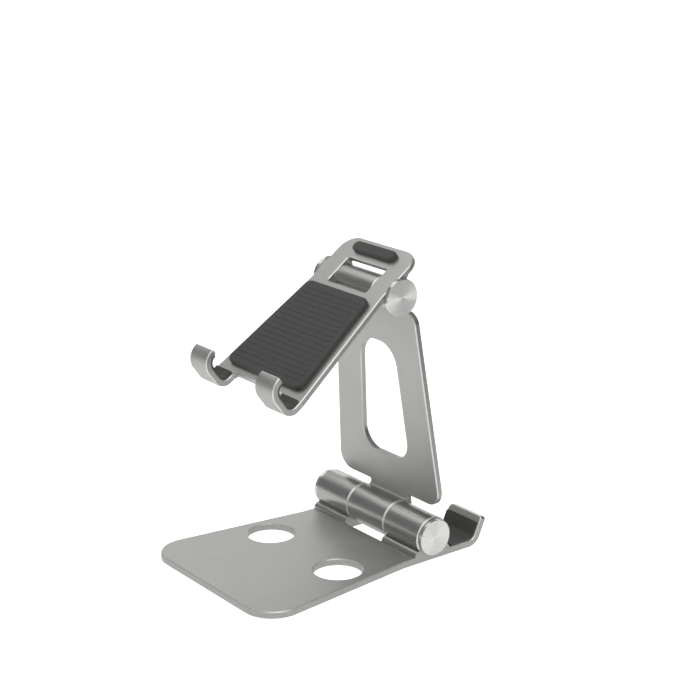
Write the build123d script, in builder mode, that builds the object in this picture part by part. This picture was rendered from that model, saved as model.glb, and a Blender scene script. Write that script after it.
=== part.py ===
from build123d import *
from math import cos, radians, sin, sqrt
from types import SimpleNamespace
import os

# Folding phone stand: a bent base plate, an arm and a cradle, joined by two friction hinges
# whose axes run across the stand. Millimetres. +X to the user's right, -Y towards the user,
# +Z up. The origin is the middle of the base's footprint, on the surface that its feet touch.

# ---------------------------------------------------------------- base plate
base_length = 108.9
base_front_width = 79.4
base_rear_width = 63.0
base_thickness = 2.8
base_front_corner = 12.0
taper_before_hinge = 13.7
base_hole_radius = 9.2
base_hole_spacing = 42.6
base_hole_before_hinge = 37.0

# ---------------------------------------------------------------- hooks at the back of the base
hook_width = 18.5
hook_bend_radius = 6.0
hook_angle = 66.0
hook_lip_length = 7.4
hinge_to_hook_bend = 18.7
hook_inner_corner = 2.5
hook_outer_corner = 1.3

# ---------------------------------------------------------------- arm
arm_lean = 96.0
axis_spacing = 92.5
arm_thickness = 2.4
arm_bottom_width = 61.3
arm_top_width = 46.8
arm_bottom_corner = 6.5
arm_top_corner = 5.0
arm_bottom_gap = 1.1
arm_top_gap = 1.2
arm_knuckle_fillet = 1.4
window_bottom_width = 28.0
window_top_width = 19.8
window_height = 47.0
window_above_shoulder = 14.0
window_bottom_corner = 8.0
window_top_corner = 9.4

# ---------------------------------------------------------------- cradle
cradle_tilt = 36.3
cradle_thickness = 2.4
cradle_bottom_width = 52.4
cradle_below_hinge = 63.9
cradle_above_hinge = 16.0
cradle_top_corner = 7.0
cradle_hook_width = 10.9
cradle_hook_straight = 8.0
cradle_slot_depth = 11.3
cradle_heel_radius = 5.2
cradle_lip_radius = 6.2
cradle_lip_rise = 0.8
lead_gap_above_heel = 0.8
lead_gap_corner = 2.0
cradle_web_fillet = 2.0

# ---------------------------------------------------------------- barrels of the two hinges
knuckle_half = 11.5
knuckle_gap = 0.35
slot_corner = 1.0
fill_root = 0.6
edge_break = 0.35
ring_break = 0.45
lower_barrel_radius = 7.6
lower_axis_height = 9.7
upper_barrel_radius = 6.0
upper_barrel_length = 41.2
web_half = 6.1

# ---------------------------------------------------------------- bolts, nuts, springs and bushes
lower_bolt_radius = 2.5
lower_head_radius = 4.4
lower_head_height = 4.0
lower_socket_flats = 4.0
lower_nut_flats = 8.0
lower_nut_height = 4.0
lower_counterbore = 5.4
lower_bush_wall = 1.1
upper_bolt_radius = 2.0
upper_head_radius = 3.5
upper_head_height = 3.0
upper_socket_flats = 3.0
upper_nut_flats = 7.0
upper_nut_height = 3.2
upper_counterbore = 4.4
upper_bush_wall = 0.9
running_clearance = 0.05
hole_clearance = 0.15
friction_washer_thickness = 0.4
friction_washer_play = 0.04
friction_washer_inset = 0.5
spring_count = 3
spring_thickness = 0.4
spring_cone = 0.25
spring_gap = 0.02
spring_clearance = 0.3
bush_middle_gap = 2.0
socket_depth_share = 0.5

# ---------------------------------------------------------------- end caps
cap_radius = 7.05
cap_thickness = 1.8
cap_spigot = 1.8
cap_space = 0.4
cap_dimple_radius = 0.7
cap_dimple_depth = 0.25

# ---------------------------------------------------------------- feet and pads
foot_thickness = 1.1
foot_recess = 0.5
front_foot_length = 44.0
foot_width = 7.0
rear_foot_length = 13.0
front_foot_inset = 9.0
rear_foot_behind_hinge = 12.5
foot_edge_break = 0.3
back_pad_thickness = 2.0
hook_pad_thickness = 1.0
pad_margin = 3.0
pad_corner = 3.0
pad_edge_break = 0.4
rear_pad_thickness = 0.8
rear_pad_start = 9.6
rear_pad_margin = 0.5
rear_pad_short = 2.8
rear_pad_corner = 1.0
hook_pad_margin = 0.8
hook_pad_overlap = 2.4
hook_pad_short = 0.5
top_pad_width = 24.0
top_pad_height = 4.4

# ---------------------------------------------------------------- axes, faces and planes
foot_proud = foot_thickness - foot_recess
hook_turn = radians(hook_angle)
hook_lip_edge = hook_lip_length - edge_break
hook_reach = hook_bend_radius * sin(hook_turn) + hook_lip_edge * cos(hook_turn)
hinge_y = base_length / 2 - hinge_to_hook_bend - hook_reach
front_y = -base_length / 2
lower_axis = Vector(0, hinge_y, foot_proud + lower_axis_height)

lean = radians(arm_lean)
arm_up = Vector(0, cos(lean), sin(lean))
arm_front = Vector(0, -sin(lean), cos(lean))
lower_face_offset = lower_barrel_radius - arm_thickness
upper_face_offset = upper_barrel_radius - arm_thickness
upper_axis = lower_axis + arm_up * axis_spacing - arm_front * (lower_face_offset - upper_face_offset)

tilt = radians(cradle_tilt)
cradle_up = Vector(0, cos(tilt), sin(tilt))
cradle_front = Vector(0, -sin(tilt), cos(tilt))

# Side planes look along the hinge axes: first axis along the plate, second towards its front.
base_side = Plane(origin=lower_axis, x_dir=(0, 1, 0), z_dir=(1, 0, 0))
arm_low_side = Plane(origin=lower_axis, x_dir=arm_up, z_dir=(1, 0, 0))
arm_high_side = Plane(origin=upper_axis, x_dir=-arm_up, z_dir=(-1, 0, 0))
cradle_side = Plane(origin=upper_axis, x_dir=cradle_up, z_dir=(1, 0, 0))
cradle_high_side = Plane(origin=upper_axis, x_dir=cradle_up, z_dir=(-1, 0, 0))
cradle_low_side = Plane(origin=upper_axis, x_dir=-cradle_up, z_dir=(1, 0, 0))
arm_face = Plane(origin=lower_axis - arm_front * lower_face_offset, x_dir=(1, 0, 0), z_dir=arm_front)
cradle_face = Plane(origin=upper_axis + cradle_front * upper_barrel_radius, x_dir=(1, 0, 0),
                    z_dir=cradle_front)

middle_half = knuckle_half - friction_washer_thickness - friction_washer_play
spring_stack = spring_count * (spring_thickness + spring_cone + spring_gap)

lower_hinge = SimpleNamespace(
    axis=lower_axis,
    half=base_rear_width / 2,
    barrel=lower_barrel_radius,
    bolt=lower_bolt_radius,
    head=lower_head_radius,
    head_height=lower_head_height,
    socket_flats=lower_socket_flats,
    nut_flats=lower_nut_flats,
    nut_height=lower_nut_height,
    counterbore=lower_counterbore,
    bush=lower_bolt_radius + running_clearance + lower_bush_wall,
)
upper_hinge = SimpleNamespace(
    axis=upper_axis,
    half=upper_barrel_length / 2,
    barrel=upper_barrel_radius,
    bolt=upper_bolt_radius,
    head=upper_head_radius,
    head_height=upper_head_height,
    socket_flats=upper_socket_flats,
    nut_flats=upper_nut_flats,
    nut_height=upper_nut_height,
    counterbore=upper_counterbore,
    bush=upper_bolt_radius + running_clearance + upper_bush_wall,
)
# Stations along each axis: the head sits on the right, the springs and the nut on the left.
for hinge in (lower_hinge, upper_hinge):
    hinge.turn = Axis(hinge.axis, (1, 0, 0))
    hinge.fastener_end = hinge.half - cap_spigot - cap_space
    hinge.head_seat = hinge.fastener_end - hinge.head_height
    hinge.nut_face = -hinge.fastener_end + hinge.nut_height
    hinge.spring_seat = hinge.nut_face + spring_stack


# ---------------------------------------------------------------- shared steps
def sharp_edges(part, smallest_angle=25):
    """Edges where two faces meet at a real angle, leaving out seams and tangent lines."""
    faces_at = {}
    for face in part.faces():
        for edge in face.edges():
            middle = edge.position_at(0.5)
            key = (round(middle.X, 3), round(middle.Y, 3), round(middle.Z, 3))
            faces_at.setdefault(key, []).append((edge, face))
    sharp = ShapeList()
    for pairs in faces_at.values():
        if len(pairs) != 2:
            continue
        edge, face = pairs[0]
        middle = edge.position_at(0.5)
        if face.normal_at(middle).get_angle(pairs[1][1].normal_at(middle)) > smallest_angle:
            sharp.append(edge)
    return sharp


def section(hinge, points):
    """Half section of a piece turned about a hinge axis, from (station, radius) points."""
    with BuildSketch(Plane(origin=hinge.axis, x_dir=(1, 0, 0), z_dir=(0, 0, 1))) as half_section:
        with BuildLine():
            Polyline(*points, close=True)
        make_face()
    return half_section.sketch


def cylinder_section(hinge, start, end, radius):
    return section(hinge, [(start, 0), (start, radius), (end, radius), (end, 0)])


def ring_section(hinge, start, end, inner, outer):
    return section(hinge, [(start, inner), (start, outer), (end, outer), (end, inner)])


def barrel_section(hinge, start, end):
    """A solid knuckle with the corners of both ends broken."""
    shoulder = hinge.barrel - ring_break
    return section(hinge, [
        (start, 0),
        (start, shoulder),
        (start + ring_break, hinge.barrel),
        (end - ring_break, hinge.barrel),
        (end, shoulder),
        (end, 0),
    ])


def cut_fastener_bores(hinge):
    """Clearance hole and the two counterbores through a pair of outer knuckles."""
    hole = hinge.bolt + hole_clearance
    revolve(cylinder_section(hinge, -hinge.half, hinge.spring_seat, hinge.counterbore),
            axis=hinge.turn, mode=Mode.SUBTRACT)
    revolve(cylinder_section(hinge, hinge.spring_seat, hinge.head_seat, hole),
            axis=hinge.turn, mode=Mode.SUBTRACT)
    revolve(cylinder_section(hinge, hinge.head_seat, hinge.half, hinge.counterbore),
            axis=hinge.turn, mode=Mode.SUBTRACT)


def knuckle_fillet(hinge, side, face_offset, radius):
    """Fill between a barrel and a plate face on the barrel's own side, drawn in a side plane."""
    station = sqrt((hinge.barrel + radius)**2 - (face_offset - radius)**2)
    centre = Vector(station, radius - face_offset)
    on_barrel = centre * (hinge.barrel / (hinge.barrel + radius))
    inside = hinge.barrel / 3
    with BuildSketch(side) as fill:
        with BuildLine():
            RadiusArc((station, -face_offset), on_barrel, radius)
            Polyline(
                on_barrel,
                (inside, -inside),
                (inside, -face_offset - fill_root),
                (station, -face_offset - fill_root),
                (station, -face_offset),
            )
        make_face()
    return fill.sketch


def save(part, name):
    part.label = name
    os.makedirs("parts", exist_ok=True)
    export_step(part, f"parts/{name}.step")


# ---------------------------------------------------------------- feet
# Silicone feet let into the underside: a long one at the front, one under each rear hook.
foot_places = {
    "front_foot": (0, front_y + front_foot_inset, front_foot_length),
    "rear_foot_left": (-(base_rear_width - hook_width) / 2, hinge_y + rear_foot_behind_hinge,
                       rear_foot_length),
    "rear_foot_right": ((base_rear_width - hook_width) / 2, hinge_y + rear_foot_behind_hinge,
                        rear_foot_length),
}
for foot_name, (foot_x, foot_y, foot_length) in foot_places.items():
    with BuildPart() as foot:
        with BuildSketch(Plane.XY):
            with Locations((foot_x, foot_y)):
                SlotOverall(foot_length, foot_width)
        extrude(amount=foot_thickness)
        chamfer(foot.edges().group_by(Axis.Z)[0], length=foot_edge_break)
    save(foot.part, foot_name)

# ---------------------------------------------------------------- base plate
# One bent strip of plate: flat in front of the hinge, turned up into two hooks behind it.
plate_bottom = -lower_axis_height
plate_top = plate_bottom + base_thickness
bend_centre = Vector(hinge_to_hook_bend, plate_bottom + hook_bend_radius)
lip_inward = Vector(-sin(hook_turn), cos(hook_turn))
lip_along = Vector(cos(hook_turn), sin(hook_turn))
bend_end = bend_centre - lip_inward * hook_bend_radius
lip_outer = bend_end + lip_along * hook_lip_length
notch_reach = lower_barrel_radius + knuckle_gap
hook_inner = base_rear_width / 2 - hook_width
web_fillet = -plate_top - sqrt(lower_barrel_radius**2 - web_half**2)

with BuildPart() as base_plate:
    with BuildSketch(base_side):
        with BuildLine():
            Polyline(
                (hinge_to_hook_bend, plate_top),
                (front_y - hinge_y, plate_top),
                (front_y - hinge_y, plate_bottom),
                (hinge_to_hook_bend, plate_bottom),
            )
            CenterArc(bend_centre, hook_bend_radius, -90, hook_angle)
            Polyline(
                bend_end,
                lip_outer,
                lip_outer + lip_inward * base_thickness,
                bend_end + lip_inward * base_thickness,
            )
            CenterArc(bend_centre, hook_bend_radius - base_thickness, -90, hook_angle)
        make_face()
    extrude(amount=base_front_width / 2, both=True)

    with BuildSketch(Plane.XY) as outline:
        with BuildLine():
            Polyline(
                (-base_front_width / 2, front_y),
                (base_front_width / 2, front_y),
                (base_rear_width / 2, hinge_y - taper_before_hinge),
                (base_rear_width / 2, base_length),
                (-base_rear_width / 2, base_length),
                (-base_rear_width / 2, hinge_y - taper_before_hinge),
                close=True,
            )
        make_face()
        fillet(outline.vertices().group_by(Axis.Y)[0], radius=base_front_corner)
        with Locations((0, hinge_y - notch_reach)):
            Rectangle(2 * knuckle_half, base_length, align=(Align.CENTER, Align.MIN),
                      mode=Mode.SUBTRACT)
        notch_corners = outline.vertices().filter_by(
            lambda v: abs(abs(v.X) - knuckle_half) < slot_corner and v.Y < hinge_y)
        fillet(notch_corners, radius=slot_corner)
        with Locations((0, hinge_y + notch_reach)):
            Rectangle(2 * hook_inner, base_length, align=(Align.CENTER, Align.MIN),
                      mode=Mode.SUBTRACT)
        with Locations((0, hinge_y - base_hole_before_hinge)):
            with GridLocations(base_hole_spacing, 1, 2, 1):
                Circle(base_hole_radius, mode=Mode.SUBTRACT)
    extrude(amount=base_length, mode=Mode.INTERSECT)
    for corner_x, corner_radius in ((hook_inner, hook_inner_corner),
                                    (base_rear_width / 2, hook_outer_corner)):
        lip_corners = base_plate.edges().filter_by(
            lambda e: abs(e.length - base_thickness) < edge_break and e.center().Z > lower_axis.Z
            and abs(abs(e.center().X) - corner_x) < edge_break)
        fillet(lip_corners, radius=corner_radius)
    chamfer(sharp_edges(base_plate), length=edge_break)

    # A web under each outer knuckle carries the barrel on the plate.
    with BuildSketch(base_side.offset(knuckle_half)):
        with BuildLine():
            web_corner = (web_half, plate_top + web_fillet)
            web_foot = (web_half + web_fillet, plate_top)
            RadiusArc(web_corner, web_foot, web_fillet)
            Polyline(
                web_foot,
                (web_foot[0], plate_top - base_thickness / 2),
                (-web_foot[0], plate_top - base_thickness / 2),
                (-web_foot[0], plate_top),
            )
            RadiusArc((-web_foot[0], plate_top), (-web_half, web_corner[1]), web_fillet)
            Polyline((-web_half, web_corner[1]), (-web_half, 0), (web_half, 0), web_corner)
        make_face()
    extrude(amount=lower_hinge.half - knuckle_half)
    mirror(about=Plane.YZ)
    revolve(barrel_section(lower_hinge, knuckle_half, lower_hinge.half), axis=lower_hinge.turn)
    revolve(barrel_section(lower_hinge, -lower_hinge.half, -knuckle_half), axis=lower_hinge.turn)
    cut_fastener_bores(lower_hinge)

    with BuildSketch(Plane.XY.offset(foot_proud)):
        for foot_x, foot_y, foot_length in foot_places.values():
            with Locations((foot_x, foot_y)):
                SlotOverall(foot_length, foot_width)
    extrude(amount=foot_recess, mode=Mode.SUBTRACT)
save(base_plate.part, "base_plate")

# Silicone linings of the two rear hooks, stuck along the plate, round the bend and up the lip.
rear_pad_width = hook_width - 2 * rear_pad_margin
for pad_name, hook_side in (("rear_hook_pad_left", -1), ("rear_hook_pad_right", 1)):
    hook_middle = hook_side * (base_rear_width - hook_width) / 2
    with BuildPart() as rear_pad:
        with BuildSketch(base_side.offset(hook_middle - rear_pad_width / 2)):
            with BuildLine():
                lip_ends = []
                for gap in (base_thickness, base_thickness + rear_pad_thickness):
                    inner_bend_end = bend_centre - lip_inward * (hook_bend_radius - gap)
                    lip_ends.append(inner_bend_end + lip_along * (hook_lip_length - rear_pad_short))
                    Line((rear_pad_start, plate_bottom + gap), (hinge_to_hook_bend, plate_bottom + gap))
                    CenterArc(bend_centre, hook_bend_radius - gap, -90, hook_angle)
                    Line(inner_bend_end, lip_ends[-1])
                Line((rear_pad_start, plate_top), (rear_pad_start, plate_top + rear_pad_thickness))
                Line(*lip_ends)
            make_face()
        extrude(amount=rear_pad_width)
        pad_corners = rear_pad.edges().filter_by(
            lambda e: abs(e.length - rear_pad_thickness) < rear_pad_margin / 10)
        fillet(pad_corners, radius=rear_pad_corner)
    save(rear_pad.part, pad_name)

# ---------------------------------------------------------------- arm
# A tapering plate with a large window. Its two middle knuckles stand on the front of the plate,
# and its back face runs out flush with both barrels.
arm_shoulder = lower_barrel_radius + arm_bottom_gap
arm_top = axis_spacing - upper_barrel_radius - arm_top_gap
window_bottom = arm_shoulder + window_above_shoulder
window_top = window_bottom + window_height

with BuildPart() as arm_plate:
    with BuildSketch(arm_face) as arm_outline:
        with BuildLine():
            Polyline(
                (-middle_half, 0),
                (-middle_half, arm_shoulder),
                (-arm_bottom_width / 2, arm_shoulder),
                (-arm_top_width / 2, arm_top),
                (-middle_half, arm_top),
                (-middle_half, axis_spacing),
                (middle_half, axis_spacing),
                (middle_half, arm_top),
                (arm_top_width / 2, arm_top),
                (arm_bottom_width / 2, arm_shoulder),
                (middle_half, arm_shoulder),
                (middle_half, 0),
                close=True,
            )
        make_face()
        fillet(arm_outline.vertices().filter_by(
            lambda v: abs(v.X) > arm_bottom_width / 2 - slot_corner), radius=arm_bottom_corner)
        fillet(arm_outline.vertices().filter_by(
            lambda v: abs(v.X) > middle_half + slot_corner and v.Y > arm_top - slot_corner),
            radius=arm_top_corner)
        fillet(arm_outline.vertices().filter_by(
            lambda v: abs(v.X) < middle_half + edge_break and 0 < v.Y < axis_spacing - edge_break),
            radius=slot_corner)
    extrude(amount=-arm_thickness)
    with BuildSketch(arm_face) as window:
        with BuildLine():
            Polyline(
                (-window_bottom_width / 2, window_bottom),
                (window_bottom_width / 2, window_bottom),
                (window_top_width / 2, window_top),
                (-window_top_width / 2, window_top),
                close=True,
            )
        make_face()
        fillet(window.vertices().group_by(Axis.Y)[0], radius=window_bottom_corner)
        fillet(window.vertices().group_by(Axis.Y)[-1], radius=window_top_corner)
    extrude(amount=-arm_thickness, mode=Mode.SUBTRACT)
    plate_edges = sharp_edges(arm_plate).filter_by(
        lambda e: edge_break < (e.center() - lower_axis).dot(arm_up) < axis_spacing - edge_break)
    chamfer(plate_edges, length=edge_break)

    for hinge, side, face_offset in (
        (lower_hinge, arm_low_side, lower_face_offset),
        (upper_hinge, arm_high_side, upper_face_offset),
    ):
        extrude(knuckle_fillet(hinge, side, face_offset, arm_knuckle_fillet), amount=middle_half,
                both=True)
        revolve(barrel_section(hinge, -middle_half, middle_half), axis=hinge.turn)
        revolve(cylinder_section(hinge, -middle_half, middle_half, hinge.bush), axis=hinge.turn,
                mode=Mode.SUBTRACT)
save(arm_plate.part, "arm_plate")

# ---------------------------------------------------------------- cradle
# A plate behind the phone, bent at its foot into two J hooks with a gap for a charging lead.
# Its front face is flush with the upper barrel, and a window clears the arm's middle knuckle.
cradle_back = upper_barrel_radius - cradle_thickness
lip_front = upper_barrel_radius + cradle_slot_depth + cradle_thickness
heel_centre = Vector(cradle_heel_radius - cradle_below_hinge, cradle_back + cradle_heel_radius)
lip_centre = Vector(cradle_lip_radius - cradle_below_hinge, lip_front - cradle_lip_radius)
lip_tip = lip_centre.X + cradle_lip_rise
hook_top = cradle_hook_straight - cradle_below_hinge
window_half = upper_barrel_radius + knuckle_gap
lead_gap_height = cradle_heel_radius + lead_gap_corner + lead_gap_above_heel


def hook_layer(side, outer_gap, inner_gap, plate_end, lip_end):
    """A J-shaped band between two depths under the outside face of the cradle's hooks."""
    with BuildSketch(side) as layer:
        with BuildLine():
            for gap in (outer_gap, inner_gap):
                shelf = gap - cradle_below_hinge
                Line((plate_end, cradle_back + gap), (heel_centre.X, cradle_back + gap))
                CenterArc(heel_centre, cradle_heel_radius - gap, 180, 90)
                Line((shelf, heel_centre.Y), (shelf, lip_centre.Y))
                CenterArc(lip_centre, cradle_lip_radius - gap, 90, 90)
                Line((lip_centre.X, lip_front - gap), (lip_end, lip_front - gap))
            Line((plate_end, cradle_back + outer_gap), (plate_end, cradle_back + inner_gap))
            Line((lip_end, lip_front - outer_gap), (lip_end, lip_front - inner_gap))
        make_face()
    return layer.sketch


with BuildPart() as cradle_plate:
    extrude(hook_layer(cradle_side, 0, cradle_thickness, cradle_above_hinge, lip_tip),
            amount=cradle_bottom_width / 2, both=True)
    with BuildSketch(cradle_face) as cradle_outline:
        with BuildLine():
            Polyline(
                (-cradle_bottom_width / 2, -cradle_below_hinge),
                (-cradle_bottom_width / 2, hook_top),
                (-upper_hinge.half, -window_half),
                (-upper_hinge.half, cradle_above_hinge),
                (upper_hinge.half, cradle_above_hinge),
                (upper_hinge.half, -window_half),
                (cradle_bottom_width / 2, hook_top),
                (cradle_bottom_width / 2, -cradle_below_hinge),
                close=True,
            )
        make_face()
        fillet(cradle_outline.vertices().group_by(Axis.Y)[-1], radius=cradle_top_corner)
        with Locations((0, -cradle_below_hinge)):
            Rectangle(cradle_bottom_width - 2 * cradle_hook_width, 2 * lead_gap_height,
                      mode=Mode.SUBTRACT)
        fillet(cradle_outline.vertices().filter_by(
            lambda v: abs(v.Y - lead_gap_height + cradle_below_hinge) < edge_break),
            radius=lead_gap_corner)
        RectangleRounded(2 * knuckle_half, 2 * window_half, slot_corner, mode=Mode.SUBTRACT)
    extrude(amount=cradle_below_hinge, both=True, mode=Mode.INTERSECT)
    chamfer(sharp_edges(cradle_plate), length=edge_break)

    for side in (cradle_high_side, cradle_low_side):
        fill = knuckle_fillet(upper_hinge, side.offset(knuckle_half), cradle_back, cradle_web_fillet)
        extrude(fill, amount=upper_hinge.half - knuckle_half)
    mirror(about=Plane.YZ)
    revolve(barrel_section(upper_hinge, knuckle_half, upper_hinge.half), axis=upper_hinge.turn)
    revolve(barrel_section(upper_hinge, -upper_hinge.half, -knuckle_half), axis=upper_hinge.turn)
    cut_fastener_bores(upper_hinge)
save(cradle_plate.part, "cradle_plate")

# ---------------------------------------------------------------- pads on the cradle
# Soft silicone: one sheet behind the phone, a strip above the hinge, a J-shaped liner per hook.
taper = (cradle_bottom_width / 2 - upper_hinge.half) / (-window_half - hook_top)
pad_bottom = hook_top + pad_margin
pad_top = -window_half - pad_margin
pad_bottom_half = cradle_bottom_width / 2 - pad_margin - taper * (pad_bottom - hook_top)
pad_top_half = cradle_bottom_width / 2 - pad_margin - taper * (pad_top - hook_top)

with BuildPart() as back_pad:
    with BuildSketch(cradle_face) as pad_outline:
        with BuildLine():
            Polyline(
                (-pad_bottom_half, pad_bottom),
                (pad_bottom_half, pad_bottom),
                (pad_top_half, pad_top),
                (-pad_top_half, pad_top),
                close=True,
            )
        make_face()
        fillet(pad_outline.vertices(), radius=pad_corner)
    extrude(amount=back_pad_thickness)
    chamfer(back_pad.faces().sort_by(Axis(upper_axis, cradle_front))[-1].edges(),
            length=pad_edge_break)
save(back_pad.part, "back_pad")

with BuildPart() as top_pad:
    with BuildSketch(cradle_face):
        with Locations((0, (window_half + cradle_above_hinge) / 2)):
            SlotOverall(top_pad_width, top_pad_height)
    extrude(amount=back_pad_thickness)
    chamfer(top_pad.faces().sort_by(Axis(upper_axis, cradle_front))[-1].edges(),
            length=pad_edge_break)
save(top_pad.part, "top_pad")

hook_pad_width = cradle_hook_width - 2 * hook_pad_margin
for pad_name, hook_side in (("hook_pad_left", -1), ("hook_pad_right", 1)):
    hook_middle = hook_side * (cradle_bottom_width - cradle_hook_width) / 2
    pad_start = hook_middle - hook_pad_width / 2
    with BuildPart() as hook_pad:
        pad_band = hook_layer(cradle_side.offset(pad_start), cradle_thickness,
                              cradle_thickness + hook_pad_thickness,
                              heel_centre.X + hook_pad_overlap, lip_tip - hook_pad_short)
        extrude(pad_band, amount=hook_pad_width)
    save(hook_pad.part, pad_name)


# ---------------------------------------------------------------- fasteners of each hinge
# A socket-head bolt runs through all three knuckles. Coned springs under the nut press the
# knuckles together over thin washers, and the friction holds the joint where it is left.
def hinge_hardware(name, hinge):
    with BuildPart() as bolt:
        head_end = hinge.head_seat + hinge.head_height
        revolve(section(hinge, [
            (-hinge.fastener_end, 0),
            (-hinge.fastener_end, hinge.bolt - edge_break),
            (edge_break - hinge.fastener_end, hinge.bolt),
            (hinge.head_seat, hinge.bolt),
            (hinge.head_seat, hinge.head),
            (head_end - edge_break, hinge.head),
            (head_end, hinge.head - edge_break),
            (head_end, 0),
        ]), axis=hinge.turn)
        with BuildSketch(Plane(origin=hinge.axis, x_dir=(0, 1, 0), z_dir=(1, 0, 0)).offset(head_end)):
            RegularPolygon(hinge.socket_flats / 2, 6, major_radius=False)
        extrude(amount=-hinge.head_height * socket_depth_share, mode=Mode.SUBTRACT)
    save(bolt.part, f"{name}_bolt")

    with BuildPart() as nut:
        with BuildSketch(Plane(origin=hinge.axis, x_dir=(0, 1, 0), z_dir=(1, 0, 0)).offset(
                -hinge.fastener_end)):
            RegularPolygon(hinge.nut_flats / 2, 6, major_radius=False)
            Circle(hinge.bolt, mode=Mode.SUBTRACT)
        extrude(amount=hinge.nut_height)
    save(nut.part, f"{name}_nut")

    with BuildPart() as springs:
        inner = hinge.bolt + hole_clearance
        outer = hinge.counterbore - spring_clearance
        for number in range(spring_count):
            start = hinge.nut_face + number * (spring_thickness + spring_cone + spring_gap)
            inner_shift = spring_cone * (number % 2)
            outer_shift = spring_cone - inner_shift
            revolve(section(hinge, [
                (start + inner_shift, inner),
                (start + inner_shift + spring_thickness, inner),
                (start + outer_shift + spring_thickness, outer),
                (start + outer_shift, outer),
            ]), axis=hinge.turn)
    save(springs.part, f"{name}_disc_springs")

    with BuildPart() as washers:
        washer_outer = hinge.barrel - friction_washer_inset
        for start in (-knuckle_half, knuckle_half - friction_washer_thickness):
            revolve(ring_section(hinge, start, start + friction_washer_thickness,
                                 hinge.bolt + hole_clearance, washer_outer), axis=hinge.turn)
    save(washers.part, f"{name}_friction_washers")

    for side, start, end in (
        ("left", -middle_half, -bush_middle_gap / 2),
        ("right", bush_middle_gap / 2, middle_half),
    ):
        with BuildPart() as bush:
            revolve(ring_section(hinge, start, end, hinge.bolt + running_clearance, hinge.bush),
                    axis=hinge.turn)
        save(bush.part, f"{name}_bush_{side}")

    for side, direction in (("left", -1), ("right", 1)):
        with BuildPart() as cap:
            face = hinge.half + cap_thickness
            revolve(section(hinge, [
                (direction * (hinge.half - cap_spigot), 0),
                (direction * (hinge.half - cap_spigot), hinge.counterbore),
                (direction * hinge.half, hinge.counterbore),
                (direction * hinge.half, cap_radius - edge_break),
                (direction * (hinge.half + edge_break), cap_radius),
                (direction * (face - edge_break), cap_radius),
                (direction * face, cap_radius - edge_break),
                (direction * face, cap_dimple_radius),
                (direction * (face - cap_dimple_depth), 0),
            ]), axis=hinge.turn)
        save(cap.part, f"{name}_end_cap_{side}")


hinge_hardware("lower_hinge", lower_hinge)
hinge_hardware("upper_hinge", upper_hinge)
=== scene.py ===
from math import cos, pi, radians, sin

import bmesh
import bpy
from mathutils import Matrix, Vector


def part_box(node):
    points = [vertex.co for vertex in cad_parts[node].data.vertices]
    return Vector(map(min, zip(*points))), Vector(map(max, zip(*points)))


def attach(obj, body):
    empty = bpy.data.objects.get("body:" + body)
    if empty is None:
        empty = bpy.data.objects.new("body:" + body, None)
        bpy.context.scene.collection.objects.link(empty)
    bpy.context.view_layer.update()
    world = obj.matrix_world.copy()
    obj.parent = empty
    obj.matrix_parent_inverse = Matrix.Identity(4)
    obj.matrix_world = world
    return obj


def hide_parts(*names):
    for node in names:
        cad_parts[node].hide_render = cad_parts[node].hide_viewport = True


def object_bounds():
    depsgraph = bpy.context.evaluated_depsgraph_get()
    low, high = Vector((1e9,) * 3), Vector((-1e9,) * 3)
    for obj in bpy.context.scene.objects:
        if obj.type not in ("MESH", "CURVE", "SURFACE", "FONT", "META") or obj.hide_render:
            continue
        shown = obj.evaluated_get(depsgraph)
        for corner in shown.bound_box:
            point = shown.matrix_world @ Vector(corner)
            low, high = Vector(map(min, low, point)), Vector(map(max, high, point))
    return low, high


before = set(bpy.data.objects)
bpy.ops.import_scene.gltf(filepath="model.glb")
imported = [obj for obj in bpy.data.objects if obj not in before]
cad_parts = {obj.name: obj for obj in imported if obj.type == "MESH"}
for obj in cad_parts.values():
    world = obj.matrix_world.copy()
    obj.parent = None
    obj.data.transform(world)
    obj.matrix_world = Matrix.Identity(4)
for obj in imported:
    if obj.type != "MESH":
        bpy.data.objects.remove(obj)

# A folding phone stand of satin anodised aluminium: base, arm and cradle on two friction hinges.
# Metres, in the frame's own axes: +X to the user's right, -Y towards the user, +Z up.
cad_low, cad_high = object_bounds()
mm = 0.001


# ------------------------------------------------------------------------------- base plate
# The bottom of the stand: a 2.8 mm sheet of aluminium with two round holes, two hooks bent up at
# its back and two hinge knuckles standing on it. It is cut, bent, blasted and anodised, and its
# corners are cut bright with a diamond tool afterwards.
def middle_of(node):
    """The middle of a CAD node's box, which for a bolt or a cap is on its hinge's axis."""
    low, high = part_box(node)
    return (low + high) / 2


lower_axis = middle_of("lower_hinge_bolt")
barrel_radius = {"lower": 7.6 * mm, "upper": 6.0 * mm}
merge_distance = 0.001 * mm
crease_angle = radians(22)

# Nearly all of a noise lies between these two values.
noise_low, noise_high = 0.3, 0.7


def material_and_shader(name, metallic, roughness):
    material = bpy.data.materials.new(name)
    material.use_nodes = True
    shader = material.node_tree.nodes["Principled BSDF"]
    shader.inputs["Metallic"].default_value = metallic
    shader.inputs["Roughness"].default_value = roughness
    return material, material.node_tree, shader


def noise(tree, size, stretch=(1, 1, 1), detail=2.0):
    """Noise on object coordinates whose spots are about size across, drawn out by stretch."""
    place = tree.nodes.new("ShaderNodeTexCoord")
    mapping = tree.nodes.new("ShaderNodeMapping")
    mapping.inputs["Scale"].default_value = [1 / (size * s) for s in stretch]
    texture = tree.nodes.new("ShaderNodeTexNoise")
    texture.inputs["Scale"].default_value = 1.0
    texture.inputs["Detail"].default_value = detail
    tree.links.new(place.outputs["Object"], mapping.inputs["Vector"])
    tree.links.new(mapping.outputs["Vector"], texture.inputs["Vector"])
    return texture.outputs["Fac"]


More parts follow.
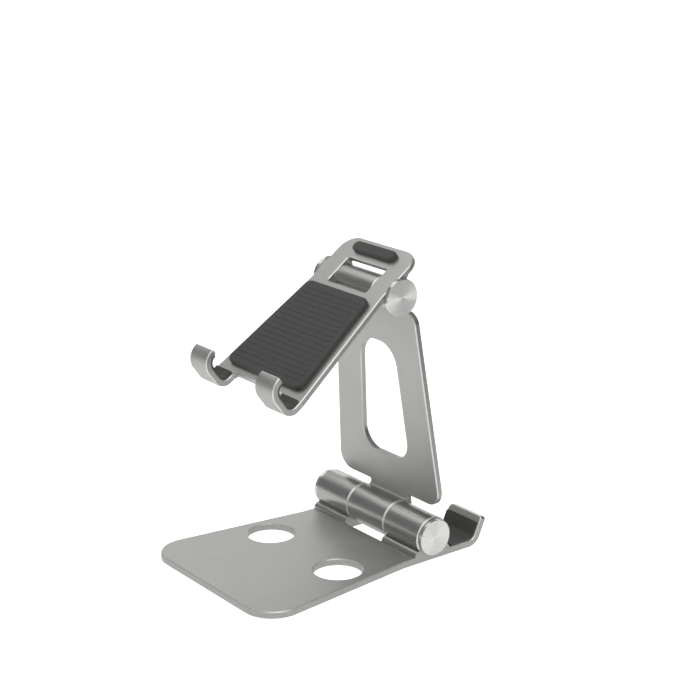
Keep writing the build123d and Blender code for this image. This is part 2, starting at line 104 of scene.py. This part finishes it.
def vary_colour(tree, shader, pattern, dark, light, low=noise_low):
    """Takes the colour from dark to light as a noise rises through its usual values."""
    node = tree.nodes.new("ShaderNodeValToRGB")
    stops = ((low, dark), (noise_high, light))
    for element, (place, colour) in zip(node.color_ramp.elements, stops):
        element.position = place
        element.color = (*colour, 1)
    tree.links.new(pattern, node.inputs["Fac"])
    tree.links.new(node.outputs["Color"], shader.inputs["Base Color"])


def vary_roughness(tree, shader, pattern, smooth, rough):
    """Takes the roughness from smooth to rough as a noise rises through its usual values."""
    node = tree.nodes.new("ShaderNodeMapRange")
    node.inputs["From Min"].default_value = noise_low
    node.inputs["From Max"].default_value = noise_high
    node.inputs["To Min"].default_value = smooth
    node.inputs["To Max"].default_value = rough
    tree.links.new(pattern, node.inputs["Value"])
    tree.links.new(node.outputs["Result"], shader.inputs["Roughness"])


def emboss(tree, shader, pattern, height, strength):
    """A grain too fine for the mesh, as a bump of a height."""
    bump = tree.nodes.new("ShaderNodeBump")
    bump.inputs["Distance"].default_value = height
    bump.inputs["Strength"].default_value = strength
    tree.links.new(pattern, bump.inputs["Height"])
    tree.links.new(bump.outputs["Normal"], shader.inputs["Normal"])


def blasted_anodised():
    """Flat faces: fine bead-blasted grain, with the slow cloudiness of an anodised sheet."""
    material, tree, shader = material_and_shader("blasted_anodised_aluminium", metallic=0.85, roughness=0.46)
    clouds = noise(tree, 16 * mm, detail=3.0)
    vary_colour(tree, shader, clouds, (0.50, 0.50, 0.48), (0.56, 0.56, 0.54))
    vary_roughness(tree, shader, clouds, smooth=0.43, rough=0.5)
    emboss(tree, shader, noise(tree, 0.22 * mm), height=0.01 * mm, strength=0.35)
    return material


def brushed_anodised():
    """Knuckles: brushed along the hinge, so that fine streaks run the length of the barrel."""
    material, tree, shader = material_and_shader("brushed_anodised_aluminium", metallic=1.0, roughness=0.3)
    streaks = noise(tree, 0.2 * mm, stretch=(40, 1, 1), detail=4.0)
    vary_colour(tree, shader, streaks, (0.42, 0.42, 0.405), (0.53, 0.53, 0.51))
    vary_roughness(tree, shader, streaks, smooth=0.27, rough=0.34)
    emboss(tree, shader, streaks, height=0.012 * mm, strength=0.3)
    return material


def bright_cut():
    """Broken corners: cut with a diamond tool after anodising, so they are bare and bright."""
    material, tree, shader = material_and_shader("bright_cut_aluminium", metallic=0.75, roughness=0.36)
    marks = noise(tree, 0.5 * mm)
    vary_colour(tree, shader, marks, (0.80, 0.80, 0.78), (0.9, 0.9, 0.88))
    vary_roughness(tree, shader, marks, smooth=0.32, rough=0.42)
    return material


def blasted_side():
    """The sheet's cut sides: a coarser, sparkling grain than its faces."""
    material, tree, shader = material_and_shader("blasted_side_aluminium", metallic=0.95, roughness=0.4)
    grain = noise(tree, 0.45 * mm, detail=3.0)
    vary_colour(tree, shader, grain, (0.34, 0.34, 0.325), (0.52, 0.52, 0.50))
    vary_roughness(tree, shader, grain, smooth=0.36, rough=0.46)
    emboss(tree, shader, grain, height=0.01 * mm, strength=0.3)
    return material


finishes = [blasted_anodised(), brushed_anodised(), bright_cut(), blasted_side()]
FACE, BARREL, CUT, SIDE = range(len(finishes))


def settled(piece):
    """Turns a piece's modifiers into its plain mesh."""
    evaluated = piece.evaluated_get(bpy.context.evaluated_depsgraph_get())
    mesh = bpy.data.meshes.new_from_object(evaluated)
    mesh.name = piece.name
    piece.modifiers.clear()
    piece.data = mesh
    return piece


def clean_copy(node, name):
    """A merged copy of a CAD node, with flat faces kept flat and curved ones shaded smooth."""
    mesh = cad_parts[node].data.copy()
    mesh.name = name
    mesh.materials.clear()
    shape = bmesh.new()
    shape.from_mesh(mesh)
    bmesh.ops.remove_doubles(shape, verts=shape.verts, dist=merge_distance)
    for face in shape.faces:
        face.smooth = True
    for edge in shape.edges:
        edge.smooth = len(edge.link_faces) == 2 and edge.calc_face_angle(pi) < crease_angle
    shape.to_mesh(mesh)
    shape.free()
    if "custom_normal" in mesh.attributes:
        mesh.attributes.remove(mesh.attributes["custom_normal"])
    piece = bpy.data.objects.new(name, mesh)
    bpy.context.scene.collection.objects.link(piece)
    weighted = piece.modifiers.new("flat_faces", "WEIGHTED_NORMAL")
    weighted.mode = "FACE_AREA"
    weighted.keep_sharp = True
    return settled(piece)


def dress(piece, finish_of):
    """Gives each facet of a piece the finish that finish_of(centre, normal) names."""
    piece.data.materials.clear()
    for material in finishes:
        piece.data.materials.append(material)
    for facet in piece.data.polygons:
        facet.material_index = finish_of(facet.center, facet.normal)


# A facet's finish goes by its place and by its normal. A normal's share along a direction is
# under edge_on where the facet runs along it, and over face_on where the facet faces that way.
# On a broken corner the share lies in between.
edge_on = 0.1
face_on = 0.95
knuckle_corner = (0.5, 0.9)
sheet_corner = (0.6, 0.8)
facet_slack = 0.05 * mm
barrel_skin = 0.1 * mm
# Shares of a knuckle's radius: within the first is its bore, beyond the second its broken corner.
knuckle_core = 0.5
knuckle_rim = 0.85


def out_from(axis, place):
    """The way from an axis that runs along X straight out to a place."""
    return Vector((0, place.y - axis.y, place.z - axis.z))


def knuckle_finish(centre, normal, axis, radius):
    """The finish of a facet on a knuckle about an axis, or None for one that isn't on it."""
    across = out_from(axis, centre)
    if across.length > radius + facet_slack or across.length < knuckle_core * radius:
        return None
    on_corner = knuckle_corner[0] < abs(normal.x) < knuckle_corner[1]
    if on_corner and across.length > knuckle_rim * radius:
        return CUT
    faces_out = abs(normal.x) < edge_on and normal.dot(across.normalized()) > face_on
    if faces_out and across.length > radius - barrel_skin:
        return BARREL
    return None


def sheet_finish(normal, sheet_normal):
    """Face, cut corner or side, by how a facet leans against the sheet that it is on."""
    lean = abs(normal.dot(sheet_normal))
    if lean < edge_on:
        return SIDE
    return CUT if sheet_corner[0] < lean < sheet_corner[1] else FACE


# The sheet's top face, and the bend from it into each rear hook's lip.
sheet_top = 3.4 * mm
bend_centre = lower_axis + Vector((0, 18.7 * mm, -3.7 * mm))
hook_angle = radians(66)
lip_direction = Vector((0, cos(hook_angle), sin(hook_angle)))
lip_normal = Vector((0, -sin(hook_angle), cos(hook_angle)))


def base_finish(centre, normal):
    on_knuckle = knuckle_finish(centre, normal, lower_axis, barrel_radius["lower"])
    if on_knuckle is not None:
        return on_knuckle
    from_bend = out_from(bend_centre, centre)
    if from_bend.y > 0:
        on_lip = from_bend.dot(lip_direction) > 0
        return sheet_finish(normal, lip_normal if on_lip else from_bend.normalized())
    if centre.z > sheet_top + facet_slack:
        return BARREL if abs(normal.x) < edge_on else SIDE
    return sheet_finish(normal, Vector((0, 0, 1)))


base = clean_copy("base_plate", "base_sheet")
dress(base, base_finish)
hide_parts("base_plate")
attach(base, "base")


# ------------------------------------------------------------------------------- feet
# Three silicone feet, stuck into shallow recesses under the base. They are moulded, dark grey
# and slightly dusty, as soft rubber is after handling.
def silicone():
    material, tree, shader = material_and_shader("dark_silicone", metallic=0.0, roughness=0.6)
    dust = noise(tree, 1.2 * mm, detail=4.0)
    vary_colour(tree, shader, dust, (0.058, 0.058, 0.054), (0.076, 0.076, 0.071), low=0.35)
    vary_roughness(tree, shader, dust, smooth=0.5, rough=0.7)
    shader.inputs["Sheen Weight"].default_value = 0.15
    emboss(tree, shader, noise(tree, 0.15 * mm), height=0.01 * mm, strength=0.4)
    return material


dark_silicone = silicone()


def moulded(node, name, body):
    """A moulded silicone piece in a CAD node's place."""
    piece = clean_copy(node, name)
    piece.data.materials.clear()
    piece.data.materials.append(dark_silicone)
    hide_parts(node)
    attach(piece, body)


for foot in ("front_foot", "rear_foot_left", "rear_foot_right"):
    moulded(foot, f"silicone_{foot}", "base")


# ------------------------------------------------------------------------------- rear linings
# A silicone lining is stuck in each rear hook, along the plate, round the bend and up the lip,
# so that what hangs or stands in the hook isn't scratched.
for lining in ("rear_hook_pad_left", "rear_hook_pad_right"):
    moulded(lining, f"silicone_{lining}", "base")


# ------------------------------------------------------------------------------- arm
# The upright: a 2.4 mm tapering aluminium sheet with a large window and a knuckle at each end,
# finished as the base is. It leans towards the user and turns on the base's hinge bolt.
upper_axis = middle_of("upper_hinge_bolt")
arm_lean = radians(96)
arm_front = Vector((0, -sin(arm_lean), cos(arm_lean)))

# How far the fillets between the sheet and its knuckles reach, and half a knuckle's length.
fillet_reach = 4 * mm
fillet_half = 10.9 * mm


def arm_finish(centre, normal):
    for axis, radius in ((lower_axis, barrel_radius["lower"]), (upper_axis, barrel_radius["upper"])):
        on_knuckle = knuckle_finish(centre, normal, axis, radius)
        if on_knuckle is not None:
            return on_knuckle
        near = out_from(axis, centre).length < radius + fillet_reach
        if near and abs(centre.x) < fillet_half and abs(normal.x) < edge_on:
            return FACE
    return sheet_finish(normal, arm_front)


arm = clean_copy("arm_plate", "arm_sheet")
dress(arm, arm_finish)
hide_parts("arm_plate")
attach(arm, "arm")


# ------------------------------------------------------------------------------- cradle
# The plate that a phone leans on: a 2.4 mm aluminium sheet with two outer knuckles on its back,
# bent at its foot into two J hooks, with a gap between them for a charging lead.
cradle_tilt = radians(36.3)
cradle_up = Vector((0, cos(cradle_tilt), sin(cradle_tilt)))
cradle_front = Vector((0, -sin(cradle_tilt), cos(cradle_tilt)))

# Places on the sheet are given from the hinge's axis: how far along the sheet, and how far out
# on the user's side of it. The heel and the lip are the centres of each hook's two bends.
cradle_back = 3.6 * mm
knuckle_reach = 10 * mm
heel = (-58.7 * mm, 8.8 * mm)
lip = (-57.7 * mm, 13.5 * mm)


def cradle_normal(along, out):
    """Which way the bent sheet faces at a place along it and out from its hinge."""
    if heel[1] < out < lip[1] and along < heel[0]:
        return cradle_up
    bend = heel if out < heel[1] else lip
    if along > bend[0]:
        return cradle_front
    return (cradle_up * (along - bend[0]) + cradle_front * (out - bend[1])).normalized()


def cradle_finish(centre, normal):
    on_knuckle = knuckle_finish(centre, normal, upper_axis, barrel_radius["upper"])
    if on_knuckle is not None:
        return on_knuckle
    along = (centre - upper_axis).dot(cradle_up)
    out = (centre - upper_axis).dot(cradle_front)
    if out < cradle_back - facet_slack and abs(along) < knuckle_reach:
        return BARREL if abs(normal.x) < edge_on else SIDE
    return sheet_finish(normal, cradle_normal(along, out))


cradle = clean_copy("cradle_plate", "cradle_sheet")
dress(cradle, cradle_finish)
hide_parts("cradle_plate")
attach(cradle, "cradle")


# ------------------------------------------------------------------------------- pads
# Moulded silicone pieces stuck to the cradle: a sheet behind the phone, a strip above the hinge
# and a J-shaped lining in each hook. They are the same dark silicone as the feet.
for pad in ("back_pad", "top_pad", "hook_pad_left", "hook_pad_right"):
    moulded(pad, f"silicone_{pad}", "cradle")

# Low ribs moulded across the back pad, round bars sunk in it, each shorter than the last
# towards the hinge as the pad narrows.
rib_radius = 0.5 * mm
rib_height = 0.22 * mm
rib_spacing = 2.3 * mm
rib_count = 17
first_rib = -49.5 * mm
first_rib_length = 40 * mm
pad_face = 8.0 * mm
pad_side_slope = 0.113


def size_inputs(tree, names):
    """Adds a named number input for each size, and gives the tree's input and output nodes."""
    for name in names:
        tree.interface.new_socket(name, in_out="INPUT", socket_type="NodeSocketFloat")
    tree.interface.new_socket("Geometry", in_out="OUTPUT", socket_type="NodeSocketGeometry")
    return tree.nodes.new("NodeGroupInput"), tree.nodes.new("NodeGroupOutput")


def result_of(tree, operation, first, second):
    """The result of an operation on two values, each a number or another node's output."""
    node = tree.nodes.new("ShaderNodeMath")
    node.operation = operation
    for socket, value in zip(node.inputs, (first, second)):
        if isinstance(value, bpy.types.NodeSocket):
            tree.links.new(value, socket)
        else:
            socket.default_value = value
    return node.outputs[0]


def swept(tree, line, radius, facets):
    """A closed round bar of a radius along a line."""
    circle = tree.nodes.new("GeometryNodeCurvePrimitiveCircle")
    circle.inputs["Resolution"].default_value = facets
    tree.links.new(radius, circle.inputs["Radius"])
    bar = tree.nodes.new("GeometryNodeCurveToMesh")
    bar.inputs["Fill Caps"].default_value = True
    tree.links.new(line, bar.inputs["Curve"])
    tree.links.new(circle.outputs["Curve"], bar.inputs["Profile Curve"])
    return bar.outputs["Mesh"]


def finished(tree, geometry, output, material):
    """Ends a tree: its copies made real, in one material."""
    realize = tree.nodes.new("GeometryNodeRealizeInstances")
    paint = tree.nodes.new("GeometryNodeSetMaterial")
    paint.inputs["Material"].default_value = material
    tree.links.new(geometry, realize.inputs["Geometry"])
    tree.links.new(realize.outputs["Geometry"], paint.inputs["Geometry"])
    tree.links.new(paint.outputs["Geometry"], output.inputs["Geometry"])


def rib_tree():
    """Bars along X in a row along Y, each shorter than the last."""
    tree = bpy.data.node_groups.new("moulded_ribs", "GeometryNodeTree")
    sizes, output = size_inputs(tree, ["Count", "Spacing", "Length", "Narrowing", "Radius"])
    half = result_of(tree, "MULTIPLY", sizes.outputs["Length"], 0.5)
    line = tree.nodes.new("GeometryNodeCurvePrimitiveLine")
    start = tree.nodes.new("ShaderNodeCombineXYZ")
    end = tree.nodes.new("ShaderNodeCombineXYZ")
    tree.links.new(result_of(tree, "MULTIPLY", half, -1.0), start.inputs["X"])
    tree.links.new(half, end.inputs["X"])
    tree.links.new(start.outputs[0], line.inputs["Start"])
    tree.links.new(end.outputs[0], line.inputs["End"])
    bar = swept(tree, line.outputs["Curve"], sizes.outputs["Radius"], facets=16)
    row = tree.nodes.new("GeometryNodeMeshLine")
    offset = tree.nodes.new("ShaderNodeCombineXYZ")
    tree.links.new(sizes.outputs["Spacing"], offset.inputs["Y"])
    tree.links.new(sizes.outputs["Count"], row.inputs["Count"])
    tree.links.new(offset.outputs[0], row.inputs["Offset"])
    index = tree.nodes.new("GeometryNodeInputIndex")
    travelled = result_of(tree, "MULTIPLY", index.outputs[0], sizes.outputs["Spacing"])
    lost = result_of(tree, "MULTIPLY", travelled, sizes.outputs["Narrowing"])
    lost_share = result_of(tree, "DIVIDE", lost, sizes.outputs["Length"])
    scale = tree.nodes.new("ShaderNodeCombineXYZ")
    scale.inputs["Y"].default_value = 1.0
    scale.inputs["Z"].default_value = 1.0
    tree.links.new(result_of(tree, "SUBTRACT", 1.0, lost_share), scale.inputs["X"])
    place = tree.nodes.new("GeometryNodeInstanceOnPoints")
    tree.links.new(row.outputs["Mesh"], place.inputs["Points"])
    tree.links.new(bar, place.inputs["Instance"])
    tree.links.new(scale.outputs[0], place.inputs["Scale"])
    finished(tree, place.outputs["Instances"], output, dark_silicone)
    return tree


def grown(name, tree, values, matrix):
    """The plain mesh that a tree makes from its named sizes, put in the frame by a matrix."""
    piece = bpy.data.objects.new(name, bpy.data.meshes.new(name))
    bpy.context.scene.collection.objects.link(piece)
    modifier = piece.modifiers.new(name, "NODES")
    modifier.node_group = tree
    for item in tree.interface.items_tree:
        if item.in_out == "INPUT":
            modifier[item.identifier] = float(values[item.name])
    settled(piece)
    piece.data.transform(matrix)
    for facet in piece.data.polygons:
        facet.use_smooth = True
    return piece


def axes_at(origin, x, y, z):
    """The matrix that puts a mesh's own axes along x, y and z, from an origin."""
    matrix = Matrix((x, y, z)).transposed().to_4x4()
    matrix.translation = origin
    return matrix


to_the_right = Vector((1, 0, 0))
rib_start = (upper_axis + cradle_up * first_rib
             + cradle_front * (pad_face - rib_radius + rib_height))
ribs = grown("silicone_pad_ribs", rib_tree(),
             {"Count": rib_count, "Spacing": rib_spacing, "Length": first_rib_length,
              "Narrowing": 2 * pad_side_slope, "Radius": rib_radius},
             axes_at(rib_start, to_the_right, cradle_up, cradle_front))
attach(ribs, "cradle")


# ------------------------------------------------------------------------------- end caps
# Turned aluminium caps pressed into both ends of each barrel. The lathe's tool leaves a dimple in
# the middle of the face, and fine rings round it that spread every light into a fan.
spigot_radius = {"lower": 5.4 * mm, "upper": 4.4 * mm}
cap_thickness = 1.8 * mm
cap_rounding = 0.3 * mm
rounding_steps = 6
# The rim's back corner is eased by two flats, which meet at these shares of the rounding.
eased_along, eased_in = 0.4, 0.25
ring_pitch = 0.5 * mm
ring_depth = 0.03 * mm
ring_steps = 6
dimple_radius = 0.6 * mm
dimple_depth = 0.25 * mm
cap_segments = 128
cap_crease = radians(35)


def turned_aluminium():
    material, tree, shader = material_and_shader("turned_aluminium", metallic=1.0, roughness=0.27)
    marks = noise(tree, 0.6 * mm, stretch=(6, 1, 1), detail=3.0)
    vary_colour(tree, shader, marks, (0.70, 0.70, 0.68), (0.82, 0.82, 0.80))
    shader.inputs["Anisotropic"].default_value = 0.9
    shader.inputs["Anisotropic Rotation"].default_value = 0.25
    tangent = tree.nodes.new("ShaderNodeTangent")
    tangent.direction_type = "RADIAL"
    tangent.axis = "X"
    tree.links.new(tangent.outputs["Tangent"], shader.inputs["Tangent"])
    return material


turned = turned_aluminium()


def cap_outline(inner, face, radius, spigot, outward):
    """A cap's half outline from its inner end to its face, as (place along X, radius) points."""
    rim = face - outward * cap_thickness
    outline = [(inner, 0), (inner, spigot), (rim, spigot), (rim, radius - cap_rounding),
               (rim + outward * cap_rounding * eased_along, radius - cap_rounding * eased_in),
               (rim + outward * cap_rounding, radius)]
    for step in range(rounding_steps + 1):
        turn = radians(90 * step / rounding_steps)
        outline.append((face - outward * cap_rounding * (1 - sin(turn)),
                        radius - cap_rounding * (1 - cos(turn))))
    width = radius - cap_rounding - dimple_radius
    steps = int(width / ring_pitch) * ring_steps
    for step in range(1, steps + 1):
        sunk = ring_depth * (1 - cos(2 * pi * step / ring_steps)) / 2
        outline.append((face - outward * sunk, radius - cap_rounding - width * step / steps))
    outline.append((face - outward * dimple_depth, 0))
    return outline


def lathed(name, outline, axis):
    """The closed mesh that a half outline makes, turned about an axis that runs along X."""
    shape = bmesh.new()
    rings = []
    for x, radius in outline:
        if radius == 0:
            rings.append([shape.verts.new((x, axis.y, axis.z))])
            continue
        turns = [2 * pi * i / cap_segments for i in range(cap_segments)]
        rings.append([
            shape.verts.new((x, axis.y + radius * cos(turn), axis.z + radius * sin(turn)))
            for turn in turns])
    for first, second in zip(rings, rings[1:]):
        for i in range(cap_segments):
            j = (i + 1) % cap_segments
            corners = [first[i % len(first)], first[j % len(first)],
                       second[j % len(second)], second[i % len(second)]]
            shape.faces.new(list(dict.fromkeys(corners)))
    bmesh.ops.recalc_face_normals(shape, faces=shape.faces)
    for facet in shape.faces:
        facet.smooth = True
    for edge in shape.edges:
        edge.smooth = edge.calc_face_angle(pi) < cap_crease
    mesh = bpy.data.meshes.new(name)
    shape.to_mesh(mesh)
    shape.free()
    return mesh


def turned_cap(hinge, side, body):
    """The cap at a hinge's left or right end."""
    node = f"{hinge}_hinge_end_cap_{side}"
    name = f"{hinge}_cap_{side}"
    low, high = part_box(node)
    radius = (high.z - low.z) / 2
    inner, face, outward = (low.x, high.x, 1) if side == "right" else (high.x, low.x, -1)
    outline = cap_outline(inner, face, radius, spigot_radius[hinge], outward)
    mesh = lathed(name, outline, middle_of(node))
    mesh.materials.append(turned)
    piece = bpy.data.objects.new(name, mesh)
    bpy.context.scene.collection.objects.link(piece)
    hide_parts(node)
    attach(piece, body)


for hinge, body in (("lower", "base"), ("upper", "cradle")):
    for side in ("left", "right"):
        turned_cap(hinge, side, body)


# ------------------------------------------------------------------------------- fasteners
# Inside each barrel: a plated steel bolt with its nut and coned springs, which press the
# knuckles together over nylon washers. Nylon bushes line the arm's knuckles.
def plated_steel():
    material, tree, shader = material_and_shader("plated_steel", metallic=1.0, roughness=0.3)
    marks = noise(tree, 0.4 * mm, stretch=(1, 5, 5), detail=3.0)
    vary_colour(tree, shader, marks, (0.42, 0.42, 0.43), (0.55, 0.55, 0.56))
    vary_roughness(tree, shader, marks, smooth=0.24, rough=0.4)
    return material


def nylon():
    material, tree, shader = material_and_shader("natural_nylon", metallic=0.0, roughness=0.45)
    clouds = noise(tree, 1.2 * mm)
    vary_colour(tree, shader, clouds, (0.72, 0.71, 0.67), (0.8, 0.79, 0.75))
    shader.inputs["Subsurface Weight"].default_value = 0.2
    shader.inputs["Subsurface Radius"].default_value = (0.4 * mm, 0.4 * mm, 0.3 * mm)
    return material


steel_finish = plated_steel()
nylon_finish = nylon()
for node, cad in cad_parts.items():
    if "hinge" in node and "cap" not in node:
        cad.data.materials.clear()
        soft = "washer" in node or "bush" in node
        cad.data.materials.append(nylon_finish if soft else steel_finish)

# The rolled thread at the nut's end of each bolt: one ridge wound along it, sunk until only its
# crest stands out. wire_share is the ridge's radius as a share of how deep its middle lies.
thread_start = 0.4 * mm
thread_length = 14 * mm
thread_ridge = 0.16 * mm
wire_share = 1.15
thread_of = {"lower": (2.5 * mm, 0.8 * mm, "base"), "upper": (2.0 * mm, 0.7 * mm, "cradle")}


def thread_tree():
    """A ridge wound about Z, whose crest stands near a radius."""
    tree = bpy.data.node_groups.new("rolled_thread", "GeometryNodeTree")
    sizes, output = size_inputs(tree, ["Radius", "Pitch", "Length", "Ridge"])
    spiral = tree.nodes.new("GeometryNodeCurveSpiral")
    spiral.inputs["Resolution"].default_value = 32
    inside = result_of(tree, "SUBTRACT", sizes.outputs["Radius"], sizes.outputs["Ridge"])
    turns = result_of(tree, "DIVIDE", sizes.outputs["Length"], sizes.outputs["Pitch"])
    tree.links.new(turns, spiral.inputs["Rotations"])
    tree.links.new(inside, spiral.inputs["Start Radius"])
    tree.links.new(inside, spiral.inputs["End Radius"])
    tree.links.new(sizes.outputs["Length"], spiral.inputs["Height"])
    wire = result_of(tree, "MULTIPLY", sizes.outputs["Ridge"], wire_share)
    wound = swept(tree, spiral.outputs["Curve"], wire, facets=6)
    finished(tree, wound, output, steel_finish)
    return tree


wound_ridge = thread_tree()
for hinge, (radius, pitch, body) in thread_of.items():
    low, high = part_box(f"{hinge}_hinge_bolt")
    start = Vector((low.x + thread_start, (low.y + high.y) / 2, (low.z + high.z) / 2))
    thread = grown(f"{hinge}_bolt_thread", wound_ridge,
                   {"Radius": radius, "Pitch": pitch, "Length": thread_length,
                    "Ridge": thread_ridge},
                   axes_at(start, Vector((0, 1, 0)), Vector((0, 0, 1)), to_the_right))
    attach(thread, body)


# ------------------------------------------------------------------------------- studio
# A pale floor and backdrop, soft lamps, a black card and the camera. The lamps stand where the
# stand's flat faces and barrels mirror them: low behind and high on the left, overhead, on the
# right and beside the camera.
floor_reach = 6.0
dome_share = 0.98
pale = (0.9, 0.9, 0.9)
black = (0.02, 0.02, 0.02)
world_light = (0.24, 0.24, 0.245)


def glow(name, colour, strength):
    """A matt surface that gives off its own light."""
    material, tree, shader = material_and_shader(name, metallic=0.0, roughness=0.9)
    shader.inputs["Base Color"].default_value = (*colour, 1)
    shader.inputs["Emission Color"].default_value = (*colour, 1)
    shader.inputs["Emission Strength"].default_value = strength
    return material


def panel(name, corners, material):
    """A flat four-cornered piece of the studio."""
    mesh = bpy.data.meshes.new(name)
    mesh.from_pydata(corners, [], [(0, 1, 2, 3)])
    mesh.materials.append(material)
    sheet = bpy.data.objects.new(name, mesh)
    bpy.context.scene.collection.objects.link(sheet)
    return sheet


def floor_sheet(name, height, strength):
    """A wide pale sheet at a height."""
    corners = [(-floor_reach, -floor_reach, height), (floor_reach, -floor_reach, height),
               (floor_reach, floor_reach, height), (-floor_reach, floor_reach, height)]
    return panel(name, corners, glow(name, pale, strength))


def seen_directly_only(stage):
    """Hides a piece of the studio from everything but the camera."""
    stage.visible_glossy = False
    stage.visible_diffuse = False
    stage.visible_shadow = False
    stage.visible_transmission = False


# The floor that is seen is white; a dimmer one just under it is what the metal mirrors.
floor = floor_sheet("pale_floor", height=0, strength=1.0)
seen_directly_only(floor)
mirrored_floor = floor_sheet("mirrored_floor", height=-0.2 * mm, strength=0.5)
mirrored_floor.visible_camera = False

backdrop_mesh = bpy.data.meshes.new("backdrop")
dome = bmesh.new()
bmesh.ops.create_uvsphere(dome, u_segments=48, v_segments=24, radius=floor_reach * dome_share)
bmesh.ops.reverse_faces(dome, faces=dome.faces)
dome.to_mesh(backdrop_mesh)
dome.free()
backdrop_mesh.materials.append(glow("pale_backdrop", pale, strength=1.1))
backdrop = bpy.data.objects.new("backdrop", backdrop_mesh)
bpy.context.scene.collection.objects.link(backdrop)
seen_directly_only(backdrop)

# A black card behind on the right, which the arm's right side and the end caps mirror.
card_distance = 0.5
card_half_width = 0.24
card_rise = Vector((0, 0, 0.4))
card_middle = Vector((0.8, 0.61, 0)).normalized() * card_distance
card_across = Vector((-card_middle.y, card_middle.x, 0)).normalized() * card_half_width
card_left, card_right = card_middle - card_across, card_middle + card_across
card = panel("black_card",
             [card_left, card_right, card_right + card_rise, card_left + card_rise],
             glow("black_card", black, strength=0.0))
card.visible_camera = False
card.visible_diffuse = False
card.visible_shadow = False


def stand_off(thing, target, azimuth, elevation, distance):
    """Puts a thing off from a target, looking at it; azimuth 0 is in front, 90 on the right."""
    turn, rise = radians(azimuth), radians(elevation)
    away = Vector((sin(turn) * cos(rise), -cos(turn) * cos(rise), sin(rise)))
    thing.location = target + away * distance
    thing.rotation_mode = "QUATERNION"
    thing.rotation_quaternion = away.to_track_quat("Z", "Y")
    bpy.context.scene.collection.objects.link(thing)


def lamp(name, azimuth, elevation, distance, width, height, radiance):
    """A soft box aimed at the stand's middle; radiance is how bright it looks."""
    data = bpy.data.lights.new(name, "AREA")
    data.shape = "RECTANGLE"
    data.size = width
    data.size_y = height
    data.energy = radiance * pi * width * height
    box = bpy.data.objects.new(name, data)
    box.visible_camera = False
    stand_off(box, (cad_low + cad_high) / 2, azimuth, elevation, distance)


# Azimuth and elevation in degrees, distance, width and height in metres, and radiance.
lamp("low_back_left", -128, 16, 1.3, 1.6, 0.5, 1.25)
lamp("high_left", -85, 53, 1.2, 0.9, 0.4, 1.6)
lamp("overhead", 20, 80, 1.3, 0.8, 0.8, 0.9)
lamp("right", 100, 30, 1.4, 0.6, 0.8, 0.6)
lamp("high_right", 78, 50, 1.2, 0.9, 0.6, 1.2)
lamp("beside_camera", 50, 24, 1.2, 0.4, 0.6, 1.0)

world = bpy.data.worlds.new("studio")
world.use_nodes = True
world.node_tree.nodes["Background"].inputs["Color"].default_value = (*world_light, 1)
world.node_tree.nodes["Background"].inputs["Strength"].default_value = 1.0
bpy.context.scene.world = world
bpy.context.scene.view_settings.view_transform = "Standard"

camera_azimuth = 52.14
camera_elevation = 17.17
camera_distance = 0.665
camera_aim = Vector((-0.01905, 0.0274, 0.0712))
camera_data = bpy.data.cameras.new("camera")
camera_data.lens = 88.2
camera_data.sensor_width = 36.0
camera = bpy.data.objects.new("camera", camera_data)
stand_off(camera, camera_aim, camera_azimuth, camera_elevation, camera_distance)
bpy.context.scene.camera = camera
